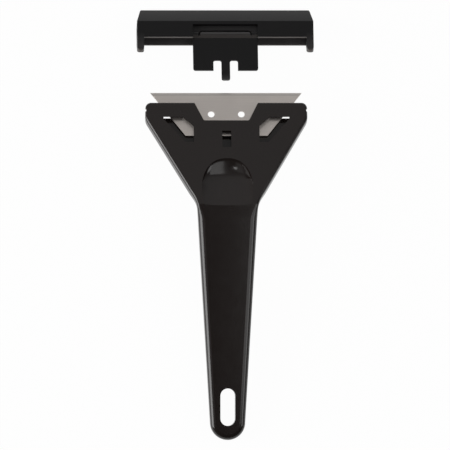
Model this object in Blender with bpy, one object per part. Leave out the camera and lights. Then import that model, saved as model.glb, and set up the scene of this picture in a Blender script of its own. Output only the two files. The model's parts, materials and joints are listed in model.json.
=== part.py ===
"""Hand scraper with a trapezoid blade and a pull-off blade cap, lying with its front face up.

Three pieces: a one-piece moulded handle with a blade pocket in its tilted head, a steel blade
that slides in the pocket, and a one-piece moulded cap with a latch tongue. The handle is drawn
level in its own frame: the shank runs along Y towards the blade, its front face is Z = 0, and
the crest line where the tilted head begins is at the origin. The blade and the cap are drawn in
the plane of the head, which turns about that crest line. The whole is then laid on a table.
"""
import math

import bmesh
import bpy
from mathutils import Vector

MM = 0.001

# Clearances, overruns and the distance under which points are one
clearance = 0.3 * MM
overrun = 1.0 * MM
weld_gap = 0.00001 * MM

# Head of the handle, measured in its own plane from the crest line
head_tilt = math.radians(24.0)
head_length = 44.65 * MM
head_width = 65.3 * MM
head_top_width = 65.0 * MM
head_thickness = 4.6 * MM
head_flare_width = 23.6 * MM
head_side_height = 7.05 * MM
head_widest_blend = 1.4 * MM
head_corner_radius = 2.1 * MM
head_edge_radius = 1.3 * MM
head_top_edge_radius = 0.5 * MM
back_edge_radius = 0.5 * MM
neck_blend = 3.3 * MM
neck_fade = 6.0 * MM
front_plate = 1.5 * MM

# Shank of the handle
shank_length = 94.75 * MM
shank_neck_width = 24.5 * MM
shank_tail_width = 14.1 * MM
shank_thickness = 7.0 * MM
tail_thickness = 6.0 * MM
shank_thickening = 14.0 * MM
shank_edge_radius = 2.8 * MM
tail_edge_radius = 2.3 * MM
hanging_slot_width = 6.0 * MM
hanging_slot_length = 15.05 * MM
hanging_slot_margin = 5.65 * MM

# Cored back of the shank
core_skin = 2.4 * MM
core_wall = 2.2 * MM
core_rib = 1.4 * MM
core_start = 9.0 * MM
core_slot_margin = 4.5 * MM
core_rows = 5
core_corner = 1.0 * MM

# Blade
blade_length = 61.0 * MM
blade_back_length = 33.0 * MM
blade_height = 19.0 * MM
blade_thickness = 0.6 * MM
blade_stands_out = 5.1 * MM
blade_hole_diameter = 2.7 * MM
blade_hole_spacing = 12.1 * MM
blade_ground_width = 1.3 * MM
blade_edge_land = 0.08 * MM

# Openings of the head, measured from its top edge and its middle line, or from the blade pocket
notch_top_width = 25.7 * MM
notch_bottom_width = 18.2 * MM
notch_depth = 7.9 * MM
notch_corner = 0.8 * MM
window_top = 6.4 * MM
window_outer = 25.3 * MM
window_inner = 13.2 * MM
window_top_inner = 17.5 * MM
window_bottom_outer = 16.7 * MM
window_outer_height = 0.8 * MM
window_below_pocket = 3.2 * MM
window_shoulder_above_pocket = 3.85 * MM
rear_slot_width = 3.8 * MM
rear_slot_height = 2.3 * MM
rear_slot_view = 0.65 * MM
latch_window_width = 3.6 * MM
latch_window_above_pocket = 1.7 * MM
latch_window_below_pocket = 5.5 * MM
latch_window_skin = 0.8 * MM
latch_blade_view = 0.45 * MM
latch_step_depth = 0.9 * MM
snap_notch_below_top = 3.5 * MM
snap_notch_radius = 0.6 * MM
snap_notch_depth = 0.45 * MM

# Thumb recess: a floor that sinks from the crest line to a crease, and a bowl above the crease
scoop_below_window = 4.9 * MM
scoop_width = 20.6 * MM
scoop_crest_width = 19.0 * MM
scoop_widest_above_crest = 6.9 * MM
scoop_bowl_length = 6.9 * MM
scoop_floor_depth = 2.95 * MM
scoop_crest_depth = 0.35 * MM
scoop_run_out = 1.2 * MM
scoop_wall_fade = 4.5 * MM

# Blade cap, measured from its rims; it lies in the plane of the head
cap_end_taper = 1.475 * MM
cap_height = 13.1 * MM
cap_front = 2.9 * MM
cap_depth = 8.6 * MM
cap_front_wall = 1.2 * MM
cap_rear_wall = 0.8 * MM
cap_top_wall = 1.8 * MM
cap_bevel_height = 6.1 * MM
cap_bevel_depth = 3.0 * MM
cap_edge_radius = 0.7 * MM
cap_back_radius = 1.3 * MM
cap_rim_fillet = 0.3 * MM
cap_side_clearance = 0.1 * MM
lug_length = 5.75 * MM
lug_width = 2.775 * MM
lug_round_share = 0.49
lug_depth = 2.7 * MM
lug_root = 0.3 * MM
lug_tip_radius = 1.0 * MM
cap_over_head = 0.9 * MM
cap_travel = 28.6 * MM

# Latch tongue of the cap
tongue_width = 26.15 * MM
tongue_recess = 1.8 * MM
tongue_thickness = 0.8 * MM
tongue_web = 0.9 * MM
tongue_web_start = 0.7 * MM
tongue_top = 5.6 * MM
tongue_end = 13.95 * MM
tongue_corner = 0.9 * MM
arch_slot_length = 21.8 * MM
arch_slot_width = 0.7 * MM
arch_slot_top = 3.65 * MM
arch_slot_foot = 1.3 * MM
arch_slot_corner = 1.9 * MM
lip_proud = 0.7 * MM
lip_length = 1.5 * MM
lip_fade = 1.2 * MM
prong_width = 3.45 * MM
prong_end = 18.25 * MM
prong_notch_width = 3.2 * MM
prong_notch_height = 4.4 * MM
prong_notch_corner = 0.8 * MM
prong_lift = 0.6 * MM
prong_lift_length = 3.2 * MM

# Roundness of curved stretches
corner_steps = 8
edge_steps = 6
back_edge_steps = 2
tail_steps = 18
circle_steps = 36
notch_circle_steps = 24
scoop_steps = 14
scoop_section_steps = 28
lug_steps = 4
core_corner_steps = 3
lip_steps = 6

# Places of the handle's cross-sections, as shares of the stretch they lie in
shank_shares = (1.0, 0.8, 0.6, 0.4, 0.25)
thickening_shares = (1.0, 0.8, 0.62)
neck_shares = (1.0, 0.83, 0.66, 0.5, 0.33, 0.16)
crest_shares = (0.1, 0.25, 0.45, 0.7, 1.0)
flare_shares = (0.35, 0.7)
widest_shares = (-1.0, -0.5, 0.0, 0.5, 1.0)

# Fullness of the thumb recess: powers that shape its rim, its bowl and its cross-sections, which
# open out from the crease to the shallow sides of the floor
scoop_rim_powers = (2.1, 0.43)
scoop_bowl_powers = (1.5, 0.75)
scoop_bowl_section_powers = (2.2, 2.2)
scoop_floor_section_powers = (3.6, 1.0)

# Worked out from the sizes above
pocket_floor = front_plate + blade_thickness + 2 * clearance
blade_middle_depth = front_plate + clearance + blade_thickness / 2
blade_back_at = head_length + blade_stands_out - blade_height
pocket_depth = blade_height - blade_stands_out + clearance
latch_window_bottom = pocket_depth + latch_window_below_pocket
scoop_top = latch_window_bottom + scoop_below_window
head_widest_at = head_length - head_side_height
cap_inner_half = head_width / 2 + cap_side_clearance
cap_half = cap_inner_half + lug_width
cap_seat_at = head_length - cap_over_head
cap_rest_at = cap_seat_at + cap_travel
mitre = math.tan(head_tilt / 2)
draw_lean = math.tan(head_tilt)


def new_collection(name):
    """A collection of this name, linked to the scene."""
    collection = bpy.data.collections.new(name)
    bpy.context.scene.collection.children.link(collection)
    return collection


def material(name, colour, roughness, metallic=0.0):
    """A plain Principled material."""
    made = bpy.data.materials.new(name)
    made.use_nodes = True
    shader = made.node_tree.nodes["Principled BSDF"]
    shader.inputs["Base Color"].default_value = (*colour, 1.0)
    shader.inputs["Roughness"].default_value = roughness
    shader.inputs["Metallic"].default_value = metallic
    return made


def add_object(name, data, collection, parent=None):
    """An object with this data, placed in its parent's frame."""
    made = bpy.data.objects.new(name, data)
    collection.objects.link(made)
    made.parent = parent
    return made


def as_cutter(made):
    """Keep a cutter out of the render and draw it as wires."""
    made.hide_render = True
    made.display_type = "WIRE"
    return made


def arc(centre, radius, start, end, steps):
    """Points along an arc, from one angle in degrees to another."""
    points = []
    for step in range(steps + 1):
        angle = math.radians(start + (end - start) * step / steps)
        points.append((centre[0] + radius * math.cos(angle), centre[1] + radius * math.sin(angle)))
    return points


def rounded(corners, radii, steps=corner_steps):
    """A closed outline whose corners are rounded, each by its own radius."""
    points = []
    count = len(corners)
    for index, corner in enumerate(corners):
        radius = radii[index]
        here = Vector(corner)
        before = (Vector(corners[index - 1]) - here).normalized()
        after = (Vector(corners[(index + 1) % count]) - here).normalized()
        if radius == 0:
            points.append(tuple(here))
            continue
        half_angle = before.angle(after) / 2
        reach = radius / math.tan(half_angle)
        middle = here + (before + after).normalized() * radius / math.sin(half_angle)
        first = here + before * reach - middle
        last = here + after * reach - middle
        turn = first.angle_signed(last)
        for step in range(steps + 1):
            share = step / steps
            angle = -turn * share
            spun = Vector((first.x * math.cos(angle) - first.y * math.sin(angle),
                           first.x * math.sin(angle) + first.y * math.cos(angle)))
            points.append(tuple(middle + spun))
    return points


def circle(centre, radius, steps):
    """A closed circle."""
    return arc(centre, radius, 0, 360, steps)[:-1]


def bend(first, knee, last, steps):
    """Points of a smooth bend between two ends, drawn towards a knee."""
    points = []
    for step in range(steps + 1):
        share = step / steps
        points.append(tuple((1 - share) ** 2 * a + 2 * share * (1 - share) * b + share ** 2 * c
                            for a, b, c in zip(first, knee, last)))
    return points


def mirrored(points):
    """The same outline on the other side of the middle line."""
    return [(-x, y) for x, y in reversed(points)]


def prism(name, outlines, low, high, collection, parent, along="Z", lean=0.0):
    """A solid with flat outlines, drawn as a filled 2D curve and made a mesh with welded caps.

    Along Z an outline holds X and Y and the prism runs from low to high in Z; it leans towards
    +Y with depth where the mould draws aslant. Along X it holds Y and Z and the prism runs in X.
    """
    curve = bpy.data.curves.new(name, "CURVE")
    curve.dimensions = "2D"
    curve.fill_mode = "BOTH"
    curve.extrude = (high - low) / 2
    for outline in outlines:
        spline = curve.splines.new("POLY")
        spline.points.add(len(outline) - 1)
        for point, (x, y) in zip(spline.points, outline):
            point.co = (x, y, 0.0, 1.0)
        spline.use_cyclic_u = True
    drawn = add_object(name + "_outline", curve, collection)
    bpy.context.view_layer.update()
    evaluated = drawn.evaluated_get(bpy.context.evaluated_depsgraph_get())
    mesh = bpy.data.meshes.new_from_object(evaluated)
    mesh.name = name
    bpy.data.objects.remove(drawn)
    bpy.data.curves.remove(curve)
    work = bmesh.new()
    work.from_mesh(mesh)
    bmesh.ops.remove_doubles(work, verts=work.verts, dist=weld_gap)
    middle = (low + high) / 2
    for vert in work.verts:
        x, y, z = vert.co
        z += middle
        vert.co = (x, y - lean * z, z) if along == "Z" else (z, x, y)
    bmesh.ops.recalc_face_normals(work, faces=work.faces)
    work.to_mesh(mesh)
    work.free()
    return add_object(name, mesh, collection, parent)


def boolean(target, cutter, operation="DIFFERENCE"):
    """Cut, join or trim the target with another object."""
    modifier = target.modifiers.new(cutter.name, "BOOLEAN")
    modifier.operation = operation
    modifier.object = cutter
    modifier.solver = "EXACT"


def smooth(mesh, degrees=30.0):
    """Shade round stretches smooth and keep crisp edges."""
    mesh.shade_smooth()
    mesh.set_sharp_from_angle(angle=math.radians(degrees))


def half_width_at(place):
    """Half the handle's width: negative places are on the shank, positive ones on the head."""
    taper = (shank_neck_width - shank_tail_width) / 2 / (shank_length - shank_tail_width / 2)
    flare = (head_width - head_flare_width) / 2 / head_widest_at
    side = (head_width - head_top_width) / 2 / (head_length - head_widest_at)
    shank_half = shank_neck_width / 2 + taper * place
    corner = (shank_neck_width - head_flare_width) / 2 / (flare - taper)
    if place <= corner - neck_blend:
        return shank_half
    if place < corner + neck_blend:
        return shank_half + (flare - taper) * (place - corner + neck_blend) ** 2 / (4 * neck_blend)
    flare_half = head_flare_width / 2 + flare * place
    if place <= head_widest_at - head_widest_blend:
        return flare_half
    if place < head_widest_at + head_widest_blend:
        past = place - head_widest_at + head_widest_blend
        return flare_half - (flare + side) * past ** 2 / (4 * head_widest_blend)
    return head_width / 2 - side * (place - head_widest_at)


def mixed(low, high, share):
    """A value between two others, eased at both ends."""
    share = min(1.0, max(0.0, share))
    return low + (high - low) * share * share * (3 - 2 * share)


def front_radius_at(place):
    """Radius of the rounded front edge along the handle."""
    if place > 0:
        return head_edge_radius
    if place > -neck_fade:
        return mixed(head_edge_radius, shank_edge_radius, -place / neck_fade)
    past = (-place - neck_fade) / (shank_length - neck_fade)
    return shank_edge_radius + (tail_edge_radius - shank_edge_radius) * past


def thickness_at(place):
    """Thickness of the handle, square to its front face."""
    if place >= 0:
        return head_thickness
    if place > -shank_thickening:
        return mixed(head_thickness, shank_thickness, -place / shank_thickening)
    past = (-place - shank_thickening) / (shank_length - shank_thickening)
    return shank_thickness + (tail_thickness - shank_thickness) * past


def handle_stations():
    """Cross-sections of the handle from the tail to the top of the head.

    Each holds its place, half width, outward direction (across, along), front edge radius and
    thickness.
    """
    stations = []
    tail_radius = shank_tail_width / 2
    tail_at = tail_radius - shank_length
    for step in range(tail_steps):
        angle = math.radians(90 - 90 * step / tail_steps)
        place = tail_at - tail_radius * math.sin(angle)
        stations.append((place, tail_radius * math.cos(angle), (math.cos(angle), -math.sin(angle)),
                         front_radius_at(place), thickness_at(place)))
    places = [tail_at * share for share in shank_shares]
    places += [-shank_thickening * share for share in thickening_shares]
    places += [-neck_fade * share for share in neck_shares]
    places.append(0.0)
    places += [neck_fade * share for share in crest_shares]
    places += [head_widest_at * share for share in flare_shares]
    places += [head_widest_at + head_widest_blend * share for share in widest_shares]
    for place in places:
        stations.append((place, half_width_at(place), (1.0, 0.0), front_radius_at(place),
                         thickness_at(place)))
    corner_at = head_length - head_corner_radius
    corner_half = half_width_at(corner_at) - head_corner_radius
    for step in range(corner_steps + 1):
        share = step / corner_steps
        angle = math.radians(90 * share)
        radius = head_edge_radius + (head_top_edge_radius - head_edge_radius) * share
        stations.append((corner_at + head_corner_radius * math.sin(angle),
                         corner_half + head_corner_radius * math.cos(angle),
                         (math.cos(angle), math.sin(angle)), radius, head_thickness))
    return stations


def edge_layers(radius, thickness):
    """Inset and depth of each layer, from the front face round both edges to the back face."""
    layers = []
    for step in range(edge_steps + 1):
        angle = math.radians(90 * step / edge_steps)
        layers.append((radius * (1 - math.sin(angle)), radius * (1 - math.cos(angle))))
    for step in range(back_edge_steps + 1):
        angle = math.radians(90 * step / back_edge_steps)
        layers.append((back_edge_radius * (1 - math.cos(angle)),
                       thickness - back_edge_radius * (1 - math.sin(angle))))
    return layers


def folded(across, place, depth):
    """A point of the handle: head places lie in the tilted plane, mitred at the crest line."""
    fade = max(0.0, 1 - abs(place) / neck_fade) * mitre * depth
    if place < 0:
        return (across, place - fade, -depth)
    along = place + fade
    return (across, along * math.cos(head_tilt) - depth * math.sin(head_tilt),
            -along * math.sin(head_tilt) - depth * math.cos(head_tilt))


def make_handle_body(collection, parent):
    """The handle before its cuts: a loft through unlike sections, with a crease at the crest."""
    work = bmesh.new()
    rings = []
    for place, half, (nx, ns), radius, thickness in handle_stations():
        left, right = [], []
        tip = half < weld_gap
        for inset, depth in edge_layers(radius, thickness):
            across = max(0.0, half - inset * nx)
            point = folded(across, place - inset * ns, depth)
            right.append(work.verts.new(point))
            left.append(right[-1] if tip else work.verts.new((-point[0], point[1], point[2])))
        rings.append((left, right))
    for (left, right), (next_left, next_right) in zip(rings, rings[1:]):
        for side, far in ((left, next_left), (right, next_right)):
            for low, high, far_low, far_high in zip(side, side[1:], far, far[1:]):
                work.faces.new((low, high, far_high, far_low))
        for row in (0, -1):
            corners = [left[row], right[row], next_right[row], next_left[row]]
            if left[row] is right[row]:
                corners = corners[1:]
            work.faces.new(corners)
    left, right = rings[-1]
    for low, high, far_low, far_high in zip(left, left[1:], right, right[1:]):
        work.faces.new((low, high, far_high, far_low))
    bmesh.ops.recalc_face_normals(work, faces=work.faces)
    mesh = bpy.data.meshes.new("handle")
    work.to_mesh(mesh)
    work.free()
    return add_object("handle", mesh, collection, parent)


def below_top(distance):
    """Place on the head at this distance below its top edge."""
    return head_length - distance


def blade_outline(margin=0.0):
    """Trapezoid of the blade, from its cutting edge to its back edge, grown by a margin."""
    slope = (blade_length - blade_back_length) / 2 / blade_height
    side_margin = margin * math.hypot(1.0, slope)
    low = blade_back_at - margin
    high = blade_back_at + blade_height
    low_half = blade_back_length / 2 - margin * slope + side_margin
    high_half = blade_length / 2 + side_margin
    return [(low_half, low), (high_half, high), (-high_half, high), (-low_half, low)]


def head_cutters(collection, plane):
    """Everything cut from the head, in the head's own plane.

    The notches, the windows and the rear slots lean, because the mould draws square to the shank.
    """
    top = head_length + overrun
    front = overrun
    back = -head_thickness - overrun

    def drawn(name, outline, low, high):
        """A cutter through the head that leans with the draw of the mould."""
        return prism(name, [outline], low, high, collection, plane, lean=draw_lean)

    cutters = [prism("blade_pocket", [blade_outline(clearance)], -pocket_floor, -front_plate,
                     collection, plane)]
    widening = (notch_top_width - notch_bottom_width) / 2 / notch_depth
    top_half = notch_top_width / 2 + widening * overrun
    bottom_half = notch_bottom_width / 2
    notch = rounded([(bottom_half, below_top(notch_depth)), (top_half, top), (-top_half, top),
                     (-bottom_half, below_top(notch_depth))], (notch_corner, 0, 0, notch_corner))
    cutters.append(drawn("front_notch", notch, back, front))
    window_bottom = pocket_depth + window_below_pocket
    window_shoulder = pocket_depth - window_shoulder_above_pocket
    window = [(window_outer, below_top(window_top)),
              (window_outer, below_top(window_top + window_outer_height)),
              (window_bottom_outer, below_top(window_bottom)),
              (window_inner, below_top(window_bottom)),
              (window_inner, below_top(window_shoulder)),
              (window_top_inner, below_top(window_top))]
    rear_low = below_top(window_top + rear_slot_view)
    rear_outer = window_outer + clearance
    rear = [(rear_outer, rear_low), (rear_outer, rear_low + rear_slot_height),
            (rear_outer - rear_slot_width, rear_low + rear_slot_height),
            (rear_outer - rear_slot_width, rear_low)]
    for side, fit in (("right", list), ("left", mirrored)):
        cutters.append(drawn("side_window_" + side, fit(window), -pocket_floor - clearance, front))
        cutters.append(drawn("rear_slot_" + side, fit(rear), back, -front_plate - clearance))
    half = latch_window_width / 2
    step_top = below_top(pocket_depth - latch_window_above_pocket)
    latch_top = below_top(pocket_depth - clearance - latch_blade_view)
    latch_low = below_top(latch_window_bottom)
    for name, low, high, floor in (("latch_window", latch_low, latch_top,
                                    latch_window_skin - head_thickness),
                                   ("latch_step", latch_low, step_top, -latch_step_depth)):
        outline = [(half, low), (half, high), (-half, high), (-half, low)]
        cutters.append(drawn(name, outline, floor, front))
    for side, sign in (("right", 1), ("left", -1)):
        centre = (sign * (half_width_at(below_top(snap_notch_below_top))
                          + snap_notch_radius - snap_notch_depth), below_top(snap_notch_below_top))
        nick = circle(centre, snap_notch_radius, notch_circle_steps)
        cutters.append(drawn("snap_notch_" + side, nick, back, front))
    return cutters


def scoop_section(place):
    """Half width, depth and section powers of the thumb recess at a place on the head."""
    top = below_top(scoop_top)
    crease = top - scoop_bowl_length
    half = scoop_width / 2
    if place < scoop_widest_above_crest:
        share = place / scoop_widest_above_crest
        half -= (scoop_width - scoop_crest_width) / 2 * (1 - share) ** 2
    else:
        share = (place - scoop_widest_above_crest) / (top - scoop_widest_above_crest)
        outer, inner = scoop_rim_powers
        half *= (1 - min(1.0, share) ** outer) ** inner
    if place < crease:
        depth = scoop_crest_depth + (scoop_floor_depth - scoop_crest_depth) * place / crease
    else:
        share = min(1.0, (place - crease) / scoop_bowl_length)
        outer, inner = scoop_bowl_powers
        depth = scoop_floor_depth * (1 - share ** outer) ** inner
    share = (crease - place) / scoop_wall_fade
    powers = [mixed(bowl, floor, share) for bowl, floor in zip(scoop_bowl_section_powers,
                                                               scoop_floor_section_powers)]
    return half, depth, powers


def scoop_cutter(collection, plane):
    """The thumb recess: a loft through sections that grow flat-bottomed towards the crease."""
    top = below_top(scoop_top)
    crease = top - scoop_bowl_length
    places = [-scoop_run_out]
    places += [crease * step / scoop_steps for step in range(scoop_steps)]
    places += [crease + scoop_bowl_length * math.sin(math.radians(90 * step / scoop_steps))
               for step in range(scoop_steps + 1)]
    work = bmesh.new()
    rings = []
    for place in places:
        half, depth, (across_power, down_power) = scoop_section(place)
        ring = [work.verts.new((half, place, overrun))]
        for step in range(scoop_section_steps + 1):
            angle = math.radians(180 * step / scoop_section_steps)
            across, down = math.cos(angle), max(0.0, math.sin(angle))
            across = math.copysign(abs(across) ** (2 / across_power), across)
            ring.append(work.verts.new((half * across, place, -depth * down ** (2 / down_power))))
        ring.append(work.verts.new((-half, place, overrun)))
        rings.append(ring)
    for ring, far in zip(rings, rings[1:]):
        for index, low in enumerate(ring):
            high = (index + 1) % len(ring)
            work.faces.new((low, ring[high], far[high], far[index]))
    work.faces.new(rings[0])
    bmesh.ops.remove_doubles(work, verts=work.verts, dist=weld_gap)
    bmesh.ops.recalc_face_normals(work, faces=work.faces)
    mesh = bpy.data.meshes.new("thumb_recess")
    work.to_mesh(mesh)
    work.free()
    return add_object("thumb_recess", mesh, collection, plane)


def stadium(centre, width, length):
    """A slot outline with round ends, along Y."""
    radius = width / 2
    reach = length / 2 - radius
    return (arc((centre[0], centre[1] + reach), radius, 0, 180, corner_steps * 2)
            + arc((centre[0], centre[1] - reach), radius, 180, 360, corner_steps * 2))


def shank_cutters(collection, frame):
    """The hanging slot and the pockets that core out the back of the shank."""
    slot_at = hanging_slot_margin + hanging_slot_length / 2 - shank_length
    slot = stadium((0.0, slot_at), hanging_slot_width, hanging_slot_length)
    cutters = [prism("hanging_slot", [slot], -shank_thickness - overrun, overrun, collection, frame)]
    first = -core_start
    last = slot_at + hanging_slot_length / 2 + core_slot_margin
    pitch = (first - last + core_rib) / core_rows
    for row in range(core_rows):
        top = first - row * pitch
        bottom = top - pitch + core_rib
        for side, fit in (("right", list), ("left", mirrored)):
            pocket = rounded([(core_rib / 2, bottom), (half_width_at(bottom) - core_wall, bottom),
                              (half_width_at(top) - core_wall, top), (core_rib / 2, top)],
                             [core_corner] * 4, core_corner_steps)
            cutters.append(prism("core_%s_%d" % (side, row + 1), [fit(pocket)],
                                 -shank_thickness - overrun, -core_skin, collection, frame))
    return cutters


def make_handle(parts, cutters, frame, plane):
    """The one-piece moulded handle."""
    handle = make_handle_body(parts, frame)
    scoop = scoop_cutter(cutters, plane)
    for cutter in head_cutters(cutters, plane) + [scoop] + shank_cutters(cutters, frame):
        boolean(handle, as_cutter(cutter))
    smooth(handle.data)
    return handle


def make_blade(parts, cutters, plane):
    """The steel blade: a trapezoid with two holes and a cutting edge ground from both faces."""
    half = blade_thickness / 2
    outline = [(x, y - blade_back_at) for x, y in blade_outline()]
    holes = [circle((side * blade_hole_spacing / 2, blade_height / 2), blade_hole_diameter / 2,
                    circle_steps) for side in (1, -1)]
    blade = prism("blade", [outline] + holes, -half, half, parts, plane)
    blade.location = (0.0, blade_back_at, -blade_middle_depth)
    reach = blade_length / 2 + overrun
    for name, sign in (("ground_front", 1), ("ground_back", -1)):
        slope = (half - blade_edge_land / 2) / blade_ground_width
        wedge = [(blade_height - blade_ground_width - overrun, sign * (half + slope * overrun)),
                 (blade_height + overrun, sign * (blade_edge_land / 2 - slope * overrun)),
                 (blade_height + overrun, sign * (half + overrun)),
                 (blade_height - blade_ground_width - overrun, sign * (half + overrun))]
        wedge_object = prism(name, [wedge], -reach, reach, cutters, blade, along="X")
        boolean(blade, as_cutter(wedge_object))
    smooth(blade.data)
    return blade


def cap_plan():
    """Outline of the cap seen square to its front: tapered top ends, and round lugs at its rims."""
    right = [(cap_end_taper - cap_half, cap_height), (-cap_half, cap_height - cap_bevel_height),
             (-cap_half, -lug_length), (-cap_inner_half, -lug_length), (-cap_inner_half, 0.0)]
    lug_round = lug_width * lug_round_share
    radii = [cap_edge_radius, 0, lug_round, lug_round, cap_rim_fillet]
    return rounded(right + mirrored(right), radii + radii[::-1], lug_steps)


def cap_profile():
    """Side view of the cap: flat front and back, a bevelled top and lugs that taper to their tips."""
    back = cap_front - cap_depth
    corners = [(-lug_length, cap_front - lug_depth), (-lug_root, back), (cap_height, back),
               (cap_height, cap_front - cap_bevel_depth),
               (cap_height - cap_bevel_height, cap_front), (-lug_length, cap_front)]
    return rounded(corners, (lug_tip_radius, lug_tip_radius, cap_back_radius, 0, 0, lug_tip_radius),
                   lug_steps)


def cap_hollow():
    """Side view of the cap's hollow, open at the rims."""
    inner_front = cap_front - cap_front_wall
    inner_back = cap_front - cap_depth + cap_rear_wall
    bevel_slope = cap_bevel_depth / cap_bevel_height
    top = cap_height - cap_top_wall
    bevel_at = cap_height - cap_bevel_height - bevel_slope * cap_front_wall
    corner = inner_front - bevel_slope * (top - bevel_at)
    return [(-lug_length - overrun, inner_back), (top, inner_back), (top, corner),
            (bevel_at, inner_front), (-lug_length - overrun, inner_front)]


def tongue_plan():
    """Outline of the tongue with its middle prong, below the rims of the cap."""
    half = tongue_width / 2
    prong = prong_width / 2
    outer = prong + prong_notch_width
    notch_top = prong_notch_height - tongue_end
    right = [(half, tongue_top), (half, -tongue_end), (outer, -tongue_end), (outer, notch_top),
             (prong, notch_top), (prong, -prong_end)]
    radii = [0, tongue_corner, 0, prong_notch_corner, prong_notch_corner, prong_notch_corner]
    return rounded(right + mirrored(right), radii + radii[::-1], lug_steps)


def tongue_profile(back, front):
    """Side view of the tongue: a rounded lip under the slot and a prong that lifts at its end."""
    lip_top = arch_slot_top - arch_slot_width
    side = [(tongue_top, back), (tongue_top, front)]
    side += bend((lip_top, front), (lip_top, front + lip_proud),
                 (lip_top - lip_length, front + lip_proud), lip_steps)
    side.append((lip_top - lip_length - lip_fade, front))
    side += bend((prong_lift_length - prong_end, front), (prong_lift_length / 2 - prong_end, front),
                 (-prong_end, front + prong_lift), lip_steps)
    side.append((-prong_end, back))
    return side


def arch_slot():
    """Outline of the narrow slot round the top of the tongue, with turned-down ends."""
    half = arch_slot_length / 2
    inner = half - arch_slot_width
    under = arch_slot_top - arch_slot_width
    right = [(-half, arch_slot_foot), (-half, arch_slot_top)]
    inside = [(inner, arch_slot_foot), (inner, under)]
    radii = [0, arch_slot_corner, arch_slot_corner, 0,
             0, arch_slot_corner - arch_slot_width, arch_slot_corner - arch_slot_width, 0]
    return rounded(right + mirrored(right) + inside + mirrored(inside), radii, lug_steps)


def make_cap(parts, cutters, plane):
    """The one-piece moulded blade cap with its latch tongue."""
    behind = cap_front - cap_depth - overrun
    ahead = cap_front + overrun
    front = cap_front - tongue_recess
    back = front - tongue_thickness
    cap = prism("protective_cap", [cap_profile()], -cap_half, cap_half, parts, plane, along="X")
    cap.location = (0.0, cap_rest_at, 0.0)
    plan = prism("cap_plan", [cap_plan()], behind, ahead, cutters, cap)
    boolean(cap, as_cutter(plan), "INTERSECT")
    hollow = prism("cap_hollow", [cap_hollow()], -cap_inner_half, cap_inner_half, cutters, cap,
                   along="X")
    boolean(cap, as_cutter(hollow))
    tray_half = tongue_width / 2 + tongue_web
    tray = [(tray_half, tongue_web_start), (tray_half, tongue_top + tongue_web),
            (-tray_half, tongue_top + tongue_web), (-tray_half, tongue_web_start)]
    tray_body = prism("tongue_tray", [tray], back, cap_front - cap_front_wall / 2, cutters, cap)
    boolean(cap, as_cutter(tray_body), "UNION")
    cut_half = tongue_width / 2
    cut_out = [(cut_half, -overrun), (cut_half, tongue_top), (-cut_half, tongue_top),
               (-cut_half, -overrun)]
    cut_body = prism("tongue_cut_out", [cut_out], front, ahead, cutters, cap)
    boolean(cap, as_cutter(cut_body))
    tongue = prism("tongue", [tongue_plan()], back - overrun, ahead, cutters, cap)
    tongue_side = prism("tongue_side", [tongue_profile(back, front)], -cap_half, cap_half, cutters, cap,
                        along="X")
    boolean(tongue, as_cutter(tongue_side), "INTERSECT")
    boolean(cap, as_cutter(tongue), "UNION")
    slot_outline = [(x, y + draw_lean * front) for x, y in arch_slot()]
    slot = prism("arch_slot", [slot_outline], back - overrun, ahead, cutters, cap, lean=draw_lean)
    boolean(cap, as_cutter(slot))
    smooth(cap.data)
    return cap


def lay_down(frame, objects):
    """Turn the whole so that the tail and the cap touch the table, and centre it above them."""
    cap_top = cap_rest_at + cap_height
    cap_back = cap_front - cap_depth
    cap_y = cap_top * math.cos(head_tilt) + cap_back * math.sin(head_tilt)
    cap_z = -cap_top * math.sin(head_tilt) + cap_back * math.cos(head_tilt)
    frame.rotation_euler.x = -math.atan2(cap_z + tail_thickness, cap_y + shank_length)
    bpy.context.view_layer.update()
    graph = bpy.context.evaluated_depsgraph_get()
    corners = []
    for made in objects:
        evaluated = made.evaluated_get(graph)
        corners += [made.matrix_world @ vert.co for vert in evaluated.data.vertices]
    low = Vector([min(corner[axis] for corner in corners) for axis in range(3)])
    high = Vector([max(corner[axis] for corner in corners) for axis in range(3)])
    frame.location = (-(low.x + high.x) / 2, -(low.y + high.y) / 2, -low.z)
    bpy.context.view_layer.update()


def main():
    for old in list(bpy.data.objects):
        bpy.data.objects.remove(old, do_unlink=True)
    parts = new_collection("plastic_scraper")
    cutters = new_collection("cutters")
    frame = add_object("lying_frame", None, parts)
    plane = add_object("head_plane", None, parts, frame)
    plane.rotation_euler.x = -head_tilt
    handle = make_handle(parts, cutters, frame, plane)
    blade = make_blade(parts, cutters, plane)
    cap = make_cap(parts, cutters, plane)
    handle.data.materials.append(material("handle", (0.022, 0.019, 0.018), 0.28))
    blade.data.materials.append(material("blade", (0.55, 0.53, 0.51), 0.32, 1.0))
    cap.data.materials.append(material("protective_cap", (0.018, 0.018, 0.019), 0.42))
    lay_down(frame, (handle, blade, cap))


main()
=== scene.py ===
"""A black moulded hand scraper with a trapezoid steel blade, its blade cap pulled off.

The three pieces are finished over the packed model: a satin moulded handle, a ground steel
blade and a matt moulded cap. They lie on a white table under soft studio light, and the camera
looks square at the shank, so the tilted head is seen foreshortened.
"""
import json
import math

import bmesh
import bpy
from mathutils import Matrix, Vector

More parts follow.
